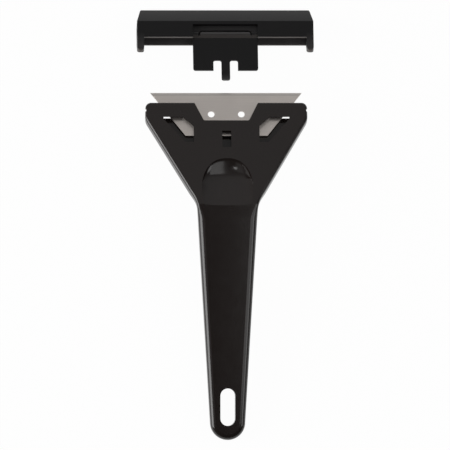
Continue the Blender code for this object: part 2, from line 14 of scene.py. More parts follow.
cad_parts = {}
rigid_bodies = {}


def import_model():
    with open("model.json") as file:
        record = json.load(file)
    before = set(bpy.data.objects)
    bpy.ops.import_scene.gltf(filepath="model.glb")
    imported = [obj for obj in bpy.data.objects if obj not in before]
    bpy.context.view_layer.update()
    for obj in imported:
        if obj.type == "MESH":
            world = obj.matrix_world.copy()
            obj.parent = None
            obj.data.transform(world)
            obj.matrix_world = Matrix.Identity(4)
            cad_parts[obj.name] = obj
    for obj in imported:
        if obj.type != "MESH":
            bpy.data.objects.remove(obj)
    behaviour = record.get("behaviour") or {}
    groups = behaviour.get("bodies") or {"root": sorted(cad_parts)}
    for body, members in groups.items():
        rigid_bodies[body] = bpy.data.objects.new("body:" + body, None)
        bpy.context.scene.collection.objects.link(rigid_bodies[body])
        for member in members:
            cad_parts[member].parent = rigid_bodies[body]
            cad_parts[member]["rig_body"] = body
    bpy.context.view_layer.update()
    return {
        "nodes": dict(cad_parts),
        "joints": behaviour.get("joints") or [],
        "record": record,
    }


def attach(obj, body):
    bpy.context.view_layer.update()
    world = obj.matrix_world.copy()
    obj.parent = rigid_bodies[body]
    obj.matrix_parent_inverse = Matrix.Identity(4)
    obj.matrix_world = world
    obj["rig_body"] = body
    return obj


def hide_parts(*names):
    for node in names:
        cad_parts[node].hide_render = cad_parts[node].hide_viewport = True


bl_info = {
    "name": "Hand scraper",
    "version": (1, 0, 0),
    "blender": (4, 5, 0),
    "location": "View3D > Sidebar > Scraper",
    "description": "Finishes a moulded hand scraper with a steel blade and a blade cap",
    "category": "Object",
}

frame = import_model()


def joint_axis(name):
    """Direction of a joint of the packed model, as a unit vector."""
    for joint in frame["joints"]:
        if joint["name"] == name:
            return Vector(joint["axis"]).normalized()
    raise RuntimeError("the packed model has no joint named " + name)


def mount(name):
    """Place and outward direction of a mount of the packed model."""
    for stated in frame["record"]["mounts"]:
        if stated["name"] == name:
            return Vector(stated["pos_m"]), Vector(stated["axis"]).normalized()
    raise RuntimeError("the packed model has no mount named " + name)


# Directions across the tool, along its head and its shank, and out of their faces
across = Vector((1.0, 0.0, 0.0))
head_up = joint_axis("blade_slide")
head_out = across.cross(head_up)
shank_point, shank_out = mount("hanging_face")
shank_up = shank_out.cross(across)

# Clean-up of the packed meshes before their edges are broken
weld_distance = 0.000004
flat_angle = math.radians(0.2)
smooth_angle = math.radians(20.0)
broken_angle = math.radians(28.0)

# Share of the cap's half width beyond which only its lugs hang low
lug_zone = 0.9

# Share of its blend by which the blade's ground band reaches past its width
band_past = 2 / 3


class HandleFinish(bpy.types.PropertyGroup):
    """Colours and surface of the moulded handle."""

    colour: bpy.props.FloatVectorProperty(
        name="Plastic", description="Colour of the handle's plastic", subtype="COLOR",
        size=4, min=0.0, max=1.0, default=(0.0120, 0.0086, 0.0077, 1.0))
    roughness: bpy.props.FloatProperty(
        name="Roughness", description="Mean roughness of the satin surface",
        min=0.0, max=1.0, default=0.16, subtype="FACTOR")
    edge_round: bpy.props.FloatProperty(
        name="Edge rounding", description="Radius broken on the crisp moulded edges",
        min=0.0, max=0.001, default=0.00018, unit="LENGTH")
    mottling: bpy.props.FloatProperty(
        name="Mottling", description="Share by which the colour varies over the plastic",
        min=0.0, max=1.0, default=0.10, subtype="FACTOR")
    grain_scale: bpy.props.FloatProperty(
        name="Grain scale", description="Grains of the spark texture in a metre",
        min=1.0, max=20000.0, default=2600.0)
    grain_depth: bpy.props.FloatProperty(
        name="Grain depth", description="Height of the spark texture",
        min=0.0, max=0.001, default=0.000012, unit="LENGTH")
    flat_within: bpy.props.FloatProperty(
        name="Flat within", description="Least facing, as a cosine, that counts as a flat face",
        min=0.0, max=1.0, default=0.985, subtype="FACTOR")
    glance_start: bpy.props.FloatProperty(
        name="Glance start", description="Glancing share where the flat faces start to be dull",
        min=0.0, max=1.0, default=0.35, subtype="FACTOR")
    glance_fade: bpy.props.FloatProperty(
        name="Glance fade", description="Further share over which the flat faces turn dull",
        min=0.001, max=1.0, default=0.25, subtype="FACTOR")
    glance_dulling: bpy.props.FloatProperty(
        name="Glance dulling", description="Share of the shine lacking at a glancing look",
        min=0.0, max=1.0, default=0.96, subtype="FACTOR")
    rub_start: bpy.props.FloatProperty(
        name="Rub start", description="Distance from the middle where the recess turns duller",
        min=0.0, max=0.05, default=0.0052, unit="LENGTH")
    rub_fade: bpy.props.FloatProperty(
        name="Rub fade", description="Width over which the recess turns duller",
        min=0.0001, max=0.05, default=0.0012, unit="LENGTH")
    rub_end: bpy.props.FloatProperty(
        name="Rub end", description="Distance from the middle where the dull wall ends",
        min=0.0, max=0.05, default=0.012, unit="LENGTH")
    rub_height: bpy.props.FloatProperty(
        name="Rub height", description="Middle of the dull wall along the shank, from its mount",
        min=0.0, max=0.2, default=0.0885, unit="LENGTH")
    rub_reach: bpy.props.FloatProperty(
        name="Rub reach", description="Half length of the dull wall along the shank",
        min=0.0, max=0.1, default=0.0073, unit="LENGTH")
    rub_lean: bpy.props.FloatProperty(
        name="Rub lean", description="Lean to the left, as a sine, where a wall starts to be dull",
        min=0.0, max=1.0, default=0.27, subtype="FACTOR")
    rub_blend: bpy.props.FloatProperty(
        name="Rub blend", description="Further lean over which a wall turns fully dull",
        min=0.001, max=1.0, default=0.17, subtype="FACTOR")
    rub_dulling: bpy.props.FloatProperty(
        name="Rub dulling", description="Share of the shine that the rubbed wall lacks",
        min=0.0, max=1.0, default=0.88, subtype="FACTOR")


class BladeFinish(bpy.types.PropertyGroup):
    """Colours and surface of the steel blade."""

    colour: bpy.props.FloatVectorProperty(
        name="Steel", description="Colour of the blade's faces", subtype="COLOR",
        size=4, min=0.0, max=1.0, default=(0.775, 0.715, 0.67, 1.0))
    ground_colour: bpy.props.FloatVectorProperty(
        name="Ground band", description="Colour of the ground band along the edge",
        subtype="COLOR", size=4, min=0.0, max=1.0, default=(0.62, 0.58, 0.55, 1.0))
    roughness: bpy.props.FloatProperty(
        name="Roughness", description="Mean roughness of the ground faces",
        min=0.0, max=1.0, default=0.36, subtype="FACTOR")
    ground_width: bpy.props.FloatProperty(
        name="Ground width", description="Width of the ground band along the edge",
        min=0.0001, max=0.01, default=0.0013, unit="LENGTH")
    band_blend: bpy.props.FloatProperty(
        name="Band blend", description="Share of the ground width over which the band ends",
        min=0.01, max=1.0, default=0.12, subtype="FACTOR")
    line_scale: bpy.props.FloatProperty(
        name="Line scale", description="Grinding lines in a metre of the blade's height",
        min=1.0, max=50000.0, default=5200.0)
    line_reach: bpy.props.FloatProperty(
        name="Line reach", description="Changes of a grinding line in a metre of its length",
        min=0.0, max=5000.0, default=40.0)
    line_contrast: bpy.props.FloatProperty(
        name="Line contrast", description="Share by which the lines lighten and darken the steel",
        min=0.0, max=1.0, default=0.16, subtype="FACTOR")
    line_roughness: bpy.props.FloatProperty(
        name="Line roughness", description="Change of the roughness between the lines",
        min=0.0, max=1.0, default=0.10, subtype="FACTOR")
    line_depth: bpy.props.FloatProperty(
        name="Line depth", description="Depth of the grinding lines",
        min=0.0, max=0.001, default=0.00002, unit="LENGTH")
    cloud_scale: bpy.props.FloatProperty(
        name="Cloud scale", description="Clouds on the steel in a metre",
        min=1.0, max=5000.0, default=120.0)
    cloud_contrast: bpy.props.FloatProperty(
        name="Cloud contrast", description="Share by which clouds lighten and darken the steel",
        min=0.0, max=1.0, default=0.13, subtype="FACTOR")
    edge_round: bpy.props.FloatProperty(
        name="Edge rounding", description="Radius broken on the blade's edges",
        min=0.0, max=0.001, default=0.00004, unit="LENGTH")


class CapFinish(bpy.types.PropertyGroup):
    """Colours, painted light and surface of the blade cap."""

    colour: bpy.props.FloatVectorProperty(
        name="Plastic", description="Colour of the cap's plastic", subtype="COLOR",
        size=4, min=0.0, max=1.0, default=(0.0032, 0.0030, 0.0033, 1.0))
    roughness: bpy.props.FloatProperty(
        name="Roughness", description="Mean roughness of the matt surface",
        min=0.0, max=1.0, default=0.42, subtype="FACTOR")
    edge_round: bpy.props.FloatProperty(
        name="Edge rounding", description="Radius broken on the crisp moulded edges",
        min=0.0, max=0.001, default=0.00016, unit="LENGTH")
    shine: bpy.props.FloatProperty(
        name="Shine", description="Strength of the mirrored light; 0.5 is a plain plastic",
        min=0.0, max=1.0, default=0.28, subtype="FACTOR")
    mottling: bpy.props.FloatProperty(
        name="Mottling", description="Share by which the colour varies over the plastic",
        min=0.0, max=1.0, default=0.10, subtype="FACTOR")
    grain_scale: bpy.props.FloatProperty(
        name="Grain scale", description="Grains of the spark texture in a metre",
        min=1.0, max=20000.0, default=2100.0)
    grain_depth: bpy.props.FloatProperty(
        name="Grain depth", description="Height of the spark texture",
        min=0.0, max=0.001, default=0.000016, unit="LENGTH")
    # Painted light: the inside colour lifts the shaded inner wall, the raised lip and the lugs
    inside_painted_light_colour: bpy.props.FloatVectorProperty(
        name="Inside", description="Colour of the cap's unpolished inner wall", subtype="COLOR",
        size=4, min=0.0, max=1.0, default=(0.065, 0.061, 0.061, 1.0))
    inside_depth: bpy.props.FloatProperty(
        name="Inside depth", description="Depth of the inner wall behind the front",
        min=0.0001, max=0.02, default=0.0078, unit="LENGTH")
    inside_from: bpy.props.FloatProperty(
        name="Inside from", description="Share of the inside depth where the inner wall starts",
        min=0.0, max=1.0, default=0.4, subtype="FACTOR")
    inside_facing: bpy.props.FloatProperty(
        name="Inside facing", description="Least facing of the inner wall, as a cosine",
        min=0.0, max=1.0, default=0.5, subtype="FACTOR")
    cut_height: bpy.props.FloatProperty(
        name="Cut height", description="Distance of the slot's upper side from the cap's top",
        min=0.0, max=0.02, default=0.0106, unit="LENGTH")
    # Painted highlight: the raised lip under the slot is painted paler
    lip_height: bpy.props.FloatProperty(
        name="Lip height", description="Height over which the slot's raised lip is rubbed paler",
        min=0.0001, max=0.02, default=0.0013, unit="LENGTH")
    lip_reach: bpy.props.FloatProperty(
        name="Lip reach", description="Half length of the slot's rubbed lip",
        min=0.0, max=0.05, default=0.0106, unit="LENGTH")
    lip_from: bpy.props.FloatProperty(
        name="Lip from", description="Share of the inside depth where the raised lip starts",
        min=0.0, max=1.0, default=0.1, subtype="FACTOR")
    # Painted light: the lugs are painted paler towards their tips
    lug_width: bpy.props.FloatProperty(
        name="Lug width", description="Width of the rubbed lugs at the cap's ends",
        min=0.0, max=0.02, default=0.0029, unit="LENGTH")
    lug_height: bpy.props.FloatProperty(
        name="Lug height", description="Height above the lugs' tips where their rubbing ends",
        min=0.0, max=0.05, default=0.008, unit="LENGTH")
    lug_fade: bpy.props.FloatProperty(
        name="Lug fade", description="Height over which the rubbing of the lugs fades",
        min=0.0001, max=0.05, default=0.006, unit="LENGTH")
    lug_painted_light_share: bpy.props.FloatProperty(
        name="Lug share", description="Share of the inside colour on the rubbed lugs",
        min=0.0, max=1.0, default=0.35, subtype="FACTOR")
    # Painted reflection: the faces of the rim and the lugs' tips that face the handle are painted
    # paler, as if mirroring the white table
    rim_painted_highlight_colour: bpy.props.FloatVectorProperty(
        name="Rim", description="Colour of the rubbed rim and of the lugs' tips", subtype="COLOR",
        size=4, min=0.0, max=1.0, default=(0.085, 0.072, 0.065, 1.0))
    rim_margin: bpy.props.FloatProperty(
        name="Rim margin", description="Depth below the lugs' tips that the rubbed rim keeps to",
        min=0.0, max=0.01, default=0.0003, unit="LENGTH")
    rim_lean: bpy.props.FloatProperty(
        name="Rim lean", description="Downward facing, as a sine, where a face starts to be rim",
        min=0.0, max=1.0, default=0.35, subtype="FACTOR")
    rim_blend: bpy.props.FloatProperty(
        name="Rim blend", description="Further facing over which a face turns fully to rim",
        min=0.001, max=1.0, default=0.5, subtype="FACTOR")


class StudioSizes(bpy.types.PropertyGroup):
    """Camera, table and lights."""

    view_width: bpy.props.FloatProperty(
        name="View width", description="Width of the picture at the shank's face",
        min=0.05, max=1.0, default=0.18045, unit="LENGTH")
    view_distance: bpy.props.FloatProperty(
        name="Camera distance", description="Distance of the camera from the shank's face",
        min=0.5, max=30.0, default=7.0, unit="LENGTH")
    view_turn: bpy.props.FloatProperty(
        name="Camera turn", description="Turn of the camera to the left of the shank's square view",
        min=-0.3, max=0.3, default=math.radians(2.1), unit="ROTATION")
    view_centre: bpy.props.FloatVectorProperty(
        name="View centre", description="Picture's middle across and along the shank, from its mount",
        size=2, unit="LENGTH", default=(-0.00116, 0.06255))
    table_colour: bpy.props.FloatVectorProperty(
        name="Table", description="Colour of the table", subtype="COLOR",
        size=4, min=0.0, max=1.0, default=(0.9, 0.9, 0.9, 1.0))
    table_white: bpy.props.FloatProperty(
        name="Table white", description="Share of plain white in the table that the camera sees",
        min=0.0, max=1.0, default=0.97, subtype="FACTOR")
    # Painted shade: seen in mirrors, the table glows less at the right, where the object's shadow
    # would lie
    table_mirrored: bpy.props.FloatProperty(
        name="Table mirrored", description="Share of that white in mirrors at the left",
        min=0.0, max=1.0, default=0.85, subtype="FACTOR")
    mirrored_painted_shade: bpy.props.FloatProperty(
        name="Mirrored fall", description="Loss of the mirrored share at the right",
        min=0.0, max=1.0, default=0.65, subtype="FACTOR")
    fall_start: bpy.props.FloatProperty(
        name="Fall start", description="Place across the table where the mirrored share falls",
        min=-1.0, max=1.0, default=0.03, unit="LENGTH")
    fall_width: bpy.props.FloatProperty(
        name="Fall width", description="Width over which the mirrored share falls",
        min=0.001, max=1.0, default=0.05, unit="LENGTH")
    table_size: bpy.props.FloatProperty(
        name="Table size", description="Length of the table's sides",
        min=1.0, max=60.0, default=40.0, unit="LENGTH")
    sky_low: bpy.props.FloatProperty(
        name="Sky low", description="Light of the surroundings below and square to the shank",
        min=0.0, max=5.0, default=0.06)
    sky_gain: bpy.props.FloatProperty(
        name="Sky gain", description="Light that the surroundings gain towards the blade end",
        min=0.0, max=5.0, default=0.59)
    sky_power: bpy.props.FloatProperty(
        name="Sky power", description="Power of that gain's rise",
        min=0.1, max=5.0, default=1.2)
    sky_most: bpy.props.FloatProperty(
        name="Sky most", description="Most light that the surroundings gain",
        min=0.0, max=5.0, default=0.45)
    light_middle: bpy.props.FloatProperty(
        name="Light middle", description="Place along the shank that the lights face",
        min=-1.0, max=1.0, default=0.06, unit="LENGTH")
    light_thumb: bpy.props.FloatProperty(
        name="Light thumb", description="Place in the thumb recess that the right fill faces",
        min=-1.0, max=1.0, default=0.085, unit="LENGTH")


def new_material(name):
    """An empty node material with its Principled shader and output."""
    made = bpy.data.materials.new(name)
    made.use_nodes = True
    nodes = made.node_tree.nodes
    nodes.clear()
    output = nodes.new("ShaderNodeOutputMaterial")
    output.location = (900, 0)
    shader = nodes.new("ShaderNodeBsdfPrincipled")
    shader.location = (600, 0)
    made.node_tree.links.new(shader.outputs["BSDF"], output.inputs["Surface"])
    return made, shader


def group_tree(name, inputs, outputs):
    """A shader node group with named sockets, and its inner input and output nodes."""
    tree = bpy.data.node_groups.new(name, "ShaderNodeTree")
    for socket_name, kind, default in inputs:
        socket = tree.interface.new_socket(name=socket_name, in_out="INPUT", socket_type=kind)
        socket.default_value = default
    for socket_name, kind in outputs:
        tree.interface.new_socket(name=socket_name, in_out="OUTPUT", socket_type=kind)
    entry = tree.nodes.new("NodeGroupInput")
    entry.location = (-900, 0)
    leave = tree.nodes.new("NodeGroupOutput")
    leave.location = (700, 0)
    return tree, entry, leave


def math_node(tree, operation, first, second=None, clamp=False):
    """A Math node; each input is a socket or a number."""
    node = tree.nodes.new("ShaderNodeMath")
    node.operation = operation
    node.use_clamp = clamp
    for socket, value in zip(node.inputs, (first, second)):
        if value is None:
            continue
        if isinstance(value, (int, float)):
            socket.default_value = value
        else:
            tree.links.new(value, socket)
    return node.outputs[0]


def product(tree, first, *others):
    """Several sockets or numbers multiplied."""
    for other in others:
        first = math_node(tree, "MULTIPLY", first, other)
    return first


def ramp(tree, value, start, width):
    """0 up to the start, 1 from the start plus the width on, and a straight line between."""
    return math_node(tree, "DIVIDE", math_node(tree, "SUBTRACT", value, start), width, True)


def swing(tree, pattern, amount):
    """A pattern's departure from its middle value of a half, times an amount."""
    return math_node(tree, "MULTIPLY", math_node(tree, "SUBTRACT", pattern, 0.5), amount)


def along(tree, vector, direction):
    """How far a vector socket reaches along a fixed direction."""
    node = tree.nodes.new("ShaderNodeVectorMath")
    node.operation = "DOT_PRODUCT"
    node.inputs[1].default_value = direction
    tree.links.new(vector, node.inputs[0])
    return node.outputs["Value"]


def object_place(tree):
    """The place on an object, in the shared frame of the packed model at rest."""
    return tree.nodes.new("ShaderNodeTexCoord").outputs["Object"]


def noise_node(tree, place, scale, detail=2.0):
    """A Noise texture read at this place; the scale is a socket or a number."""
    node = tree.nodes.new("ShaderNodeTexNoise")
    node.inputs["Detail"].default_value = detail
    tree.links.new(place, node.inputs["Vector"])
    if isinstance(scale, (int, float)):
        node.inputs["Scale"].default_value = scale
    else:
        tree.links.new(scale, node.inputs["Scale"])
    return node.outputs["Fac"]


def toned(tree, colour, change):
    """A colour, a socket or fixed, made lighter or darker by a share around zero."""
    tone = tree.nodes.new("ShaderNodeHueSaturation")
    if isinstance(colour, bpy.types.NodeSocket):
        tree.links.new(colour, tone.inputs["Color"])
    else:
        tone.inputs["Color"].default_value = colour
    tree.links.new(math_node(tree, "ADD", change, 1.0), tone.inputs["Value"])
    return tone.outputs["Color"]


def colour_mix(tree, factor, first, second):
    """Two colours mixed by a mask; the first is a socket, the second a colour."""
    mix = tree.nodes.new("ShaderNodeMix")
    mix.data_type = "RGBA"
    tree.links.new(factor, mix.inputs["Factor"])
    tree.links.new(first, mix.inputs["A"])
    mix.inputs["B"].default_value = second
    return mix.outputs["Result"]


def bump_into(made, shader, height, strength, distance):
    """A height, as a bump into the shader's normal."""
    bump = made.node_tree.nodes.new("ShaderNodeBump")
    bump.location = (350, -300)
    bump.inputs["Strength"].default_value = strength
    bump.inputs["Distance"].default_value = distance
    made.node_tree.links.new(height, bump.inputs["Height"])
    made.node_tree.links.new(bump.outputs["Normal"], shader.inputs["Normal"])


def moulded_group(flow_scale=70.0, satin_scale=260.0, satin_change=0.05):
    """Moulded plastic: faint flow mottling of the colour, uneven satin and a fine spark texture."""
    name = "moulded plastic"
    if name in bpy.data.node_groups:
        return bpy.data.node_groups[name]
    tree, entry, leave = group_tree(
        name,
        (("Colour", "NodeSocketColor", (0.01, 0.01, 0.01, 1.0)),
         ("Roughness", "NodeSocketFloat", 0.3),
         ("Mottling", "NodeSocketFloat", 0.12),
         ("Grain Scale", "NodeSocketFloat", 2600.0)),
        (("Colour", "NodeSocketColor"), ("Roughness", "NodeSocketFloat"),
         ("Height", "NodeSocketFloat")))
    place = object_place(tree)
    flow = swing(tree, noise_node(tree, place, flow_scale, detail=3.0),
                 entry.outputs["Mottling"])
    tree.links.new(toned(tree, entry.outputs["Colour"], flow), leave.inputs["Colour"])
    satin = swing(tree, noise_node(tree, place, satin_scale), satin_change)
    tree.links.new(math_node(tree, "ADD", entry.outputs["Roughness"], satin, True),
                   leave.inputs["Roughness"])
    grain = noise_node(tree, place, entry.outputs["Grain Scale"])
    tree.links.new(grain, leave.inputs["Height"])
    return tree


def plastic(name, finish, shine=0.5, grain_strength=0.35):
    """A moulded plastic made with the shared group, and its shader."""
    made, shader = new_material(name)
    node = made.node_tree.nodes.new("ShaderNodeGroup")
    node.node_tree = moulded_group()
    node.location = (-100, 0)
    node.inputs["Colour"].default_value = finish.colour
    node.inputs["Roughness"].default_value = finish.roughness
    node.inputs["Mottling"].default_value = finish.mottling
    node.inputs["Grain Scale"].default_value = finish.grain_scale
    links = made.node_tree.links
    links.new(node.outputs["Colour"], shader.inputs["Base Color"])
    links.new(node.outputs["Roughness"], shader.inputs["Roughness"])
    shader.inputs["IOR"].default_value = 1.5
    shader.inputs["Specular IOR Level"].default_value = shine
    bump_into(made, shader, node.outputs["Height"], grain_strength, finish.grain_depth)
    return made, shader


def rubbed_recess(tree, finish):
    """Mask of the wall at the right of the thumb recess, where the thumb rubs it dull."""
    place = object_place(tree)
    facing = tree.nodes.new("ShaderNodeNewGeometry").outputs["Normal"]
    aside = along(tree, place, across)
    height = math_node(tree, "SUBTRACT", along(tree, place, shank_up),
                       shank_point.dot(shank_up) + finish.rub_height)
    return product(
        tree,
        ramp(tree, aside, finish.rub_start, finish.rub_fade),
        math_node(tree, "LESS_THAN", aside, finish.rub_end),
        math_node(tree, "LESS_THAN", math_node(tree, "ABSOLUTE", height), finish.rub_reach),
        ramp(tree, along(tree, facing, -across), finish.rub_lean, finish.rub_blend))


def glancing_flat(tree, finish):
    """Mask of the flat faces at a glancing look, where their fine texture hides the mirror."""
    facing = tree.nodes.new("ShaderNodeNewGeometry").outputs["True Normal"]
    flat = math_node(tree, "MAXIMUM", along(tree, facing, head_out),
                     along(tree, facing, shank_out))
    weight = tree.nodes.new("ShaderNodeLayerWeight")
    weight.inputs["Blend"].default_value = 0.5
    return product(
        tree,
        math_node(tree, "GREATER_THAN", flat, finish.flat_within),
        ramp(tree, weight.outputs["Facing"], finish.glance_start, finish.glance_fade))


def dull_places(made, shader, finish):
    """Less shine on the handle's rubbed wall, and on its flat faces at a glancing look."""
    tree = made.node_tree
    shine = shader.inputs["Specular IOR Level"]
    level = shine.default_value
    for mask, lack in ((rubbed_recess(tree, finish), finish.rub_dulling),
                       (glancing_flat(tree, finish), finish.glance_dulling)):
        left = math_node(tree, "SUBTRACT", 1.0, product(tree, mask, lack))
        level = math_node(tree, "MULTIPLY", level, left)
    tree.links.new(level, shine)


def paint_cap_light(made, shader, finish, front, top, lug_tip, lug_place):
    """Painted light: a paler shaded inner wall, raised lip and lugs, and a painted reflection on the
    rim facing the handle.
    """
    tree = made.node_tree
    place = object_place(tree)
    facing = tree.nodes.new("ShaderNodeNewGeometry").outputs["True Normal"]
    height = along(tree, place, head_up)
    middle = math_node(tree, "ABSOLUTE", along(tree, place, across))
    depth = math_node(tree, "SUBTRACT", front, along(tree, place, head_out))
    depth = math_node(tree, "DIVIDE", depth, finish.inside_depth, True)

    # The inner wall, seen below the front and through the arched slot, painted paler where it lies in
    # shade
    slot_top = top - finish.cut_height
    over_slot = math_node(tree, "GREATER_THAN", height, slot_top)
    deep = math_node(tree, "GREATER_THAN", depth, finish.inside_from)
    outward = math_node(tree, "GREATER_THAN", along(tree, facing, head_out),
                        finish.inside_facing)
    inner = product(tree, outward, math_node(tree, "MAXIMUM", deep, over_slot), depth)

    # The raised lip under the slot, with a painted highlight
    lip = product(tree, ramp(tree, height, slot_top - finish.lip_height, finish.lip_height),
                  math_node(tree, "LESS_THAN", middle, finish.lip_reach))
    lip = product(tree, math_node(tree, "SUBTRACT", lip, over_slot, True),
                  math_node(tree, "LESS_THAN", depth, finish.inside_from),
                  math_node(tree, "GREATER_THAN", depth, finish.lip_from))

    # The lugs at the cap's ends, painted paler towards their tips
    aside = math_node(tree, "GREATER_THAN", middle, lug_place)
    below = math_node(tree, "SUBTRACT", lug_tip + finish.lug_height, height)
    lugs = product(tree, aside, math_node(tree, "DIVIDE", below, finish.lug_fade, True),
                   finish.lug_painted_light_share)

    # The rim facing the handle, with a painted reflection of the white table
    above = math_node(tree, "GREATER_THAN", height, lug_tip - finish.rim_margin)
    above = math_node(tree, "SUBTRACT", above, over_slot, True)
    rim = product(tree, above,
                  ramp(tree, along(tree, facing, -head_up), finish.rim_lean, finish.rim_blend))

    pale = math_node(tree, "MAXIMUM", math_node(tree, "MAXIMUM", inner, lip), lugs)
    plain = shader.inputs["Base Color"].links[0].from_socket
    painted_inside = colour_mix(tree, pale, plain, finish.inside_painted_light_colour)
    tree.links.new(colour_mix(tree, rim, painted_inside, finish.rim_painted_highlight_colour),
                   shader.inputs["Base Color"])


def ground_steel(finish, edge_place):
    """Ground steel: fine lines along the edge, and a darker ground band beside it."""
    made, shader = new_material("ground steel")
    tree = made.node_tree
    place = object_place(tree)
    height = along(tree, place, head_up)
    stretch = tree.nodes.new("ShaderNodeCombineXYZ")
    tree.links.new(product(tree, along(tree, place, across), finish.line_reach),
                   stretch.inputs["X"])
    tree.links.new(product(tree, height, finish.line_scale), stretch.inputs["Y"])
    lines = noise_node(tree, stretch.outputs["Vector"], 1.0, detail=3.0)
    cloud = noise_node(tree, place, finish.cloud_scale, detail=3.0)
    change = math_node(tree, "ADD", swing(tree, lines, finish.line_contrast),
                       swing(tree, cloud, finish.cloud_contrast))
    from_edge = math_node(tree, "SUBTRACT", edge_place, height)
    blend = finish.ground_width * finish.band_blend
    band_end = finish.ground_width + blend * band_past
    band = math_node(tree, "DIVIDE", math_node(tree, "SUBTRACT", band_end, from_edge), blend, True)
    tree.links.new(colour_mix(tree, band, toned(tree, finish.colour, change),
                              finish.ground_colour), shader.inputs["Base Color"])
    shader.inputs["Metallic"].default_value = 1.0
    rough = math_node(tree, "ADD", swing(tree, lines, finish.line_roughness), finish.roughness)
    tree.links.new(rough, shader.inputs["Roughness"])
    bump_into(made, shader, lines, strength=0.12, distance=finish.line_depth)
    return made


def dressed(node_name, material_made, edge_round, segments=3):
    """A piece with the packed node's own shape, welded, smoothly shaded and with broken edges."""
    node = frame["nodes"][node_name]
    mesh = node.data.copy()
    mesh.name = node_name + "_finished"
    work = bmesh.new()
    work.from_mesh(mesh)
    bmesh.ops.remove_doubles(work, verts=work.verts, dist=weld_distance)
    bmesh.ops.dissolve_limit(work, angle_limit=flat_angle, verts=work.verts, edges=work.edges)
    work.to_mesh(mesh)
    work.free()
    if mesh.attributes.get("custom_normal"):
        mesh.attributes.remove(mesh.attributes["custom_normal"])
    mesh.shade_smooth()
    mesh.set_sharp_from_angle(angle=smooth_angle)
    mesh.materials.clear()
    mesh.materials.append(material_made)
    piece = bpy.data.objects.new(node_name + "_finished", mesh)
    bpy.context.scene.collection.objects.link(piece)
    bevel = piece.modifiers.new("broken edges", "BEVEL")
    bevel.width = edge_round
    bevel.segments = segments
    bevel.limit_method = "ANGLE"
    bevel.angle_limit = broken_angle
    bevel.harden_normals = True
    bevel.use_clamp_overlap = True
    weighted = piece.modifiers.new("flat faces", "WEIGHTED_NORMAL")
    weighted.keep_sharp = True
    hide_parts(node_name)
    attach(piece, node.get("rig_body"))
    return piece


class DressHandle(bpy.types.Operator):
    """Finish the moulded handle"""

    bl_idname = "scraper.dress_handle"
    bl_label = "Handle"

    def execute(self, context):
        finish = context.scene.scraper_handle
        made, shader = plastic("handle plastic", finish)
        dull_places(made, shader, finish)
        dressed("handle", made, finish.edge_round)
        return {"FINISHED"}


class DressBlade(bpy.types.Operator):
    """Finish the steel blade"""

    bl_idname = "scraper.dress_blade"
    bl_label = "Blade"

    def execute(self, context):
        finish = context.scene.scraper_blade
        edge_place = max(vert.co.dot(head_up) for vert in frame["nodes"]["blade"].data.vertices)
        dressed("blade", ground_steel(finish, edge_place), finish.edge_round, segments=1)
        return {"FINISHED"}


class DressCap(bpy.types.Operator):
    """Finish the moulded blade cap"""

    bl_idname = "scraper.dress_cap"
    bl_label = "Blade cap"

    def execute(self, context):
        finish = context.scene.scraper_cap
        made, shader = plastic("cap plastic", finish, finish.shine)
        places = [vert.co for vert in frame["nodes"]["protective_cap"].data.vertices]
        reach = max(abs(place.x) for place in places)
        front = max(place.dot(head_out) for place in places)
        top = max(place.dot(head_up) for place in places)
        lug_tip = min(place.dot(head_up) for place in places if abs(place.x) > lug_zone * reach)
        paint_cap_light(made, shader, finish, front, top, lug_tip, reach - finish.lug_width)
        dressed("protective_cap", made, finish.edge_round)
        return {"FINISHED"}


def aimed(location, target, up):
    """Rotation that points an object's -Z from a place at a target, with +Y near up."""
    back = (location - target).normalized()
    right = up.cross(back).normalized()
    return Matrix((right, back.cross(right), back)).transposed().to_euler()


def soft_box(name, target, distance, half_width, half_height, radiance, side=0, rise=0):
    """A rectangular light of this radiance that faces the target.

    Its direction from the target and its half sizes, as seen from there, are in degrees: side
    turns from the shank's outward direction to the right, and rise towards the blade end.
    """
    turn, lift = math.radians(side), math.radians(rise)
    level = shank_out * math.cos(turn) + across * math.sin(turn)
    location = target + (level * math.cos(lift) + shank_up * math.sin(lift)) * distance
    data = bpy.data.lights.new(name, "AREA")
    data.shape = "RECTANGLE"
    data.size = 2 * distance * math.tan(math.radians(half_width))
    data.size_y = 2 * distance * math.tan(math.radians(half_height))
    data.energy = radiance * math.pi * data.size * data.size_y
    made = bpy.data.objects.new(name, data)
    bpy.context.scene.collection.objects.link(made)
    made.location = location
    made.rotation_euler = aimed(location, target, shank_up)


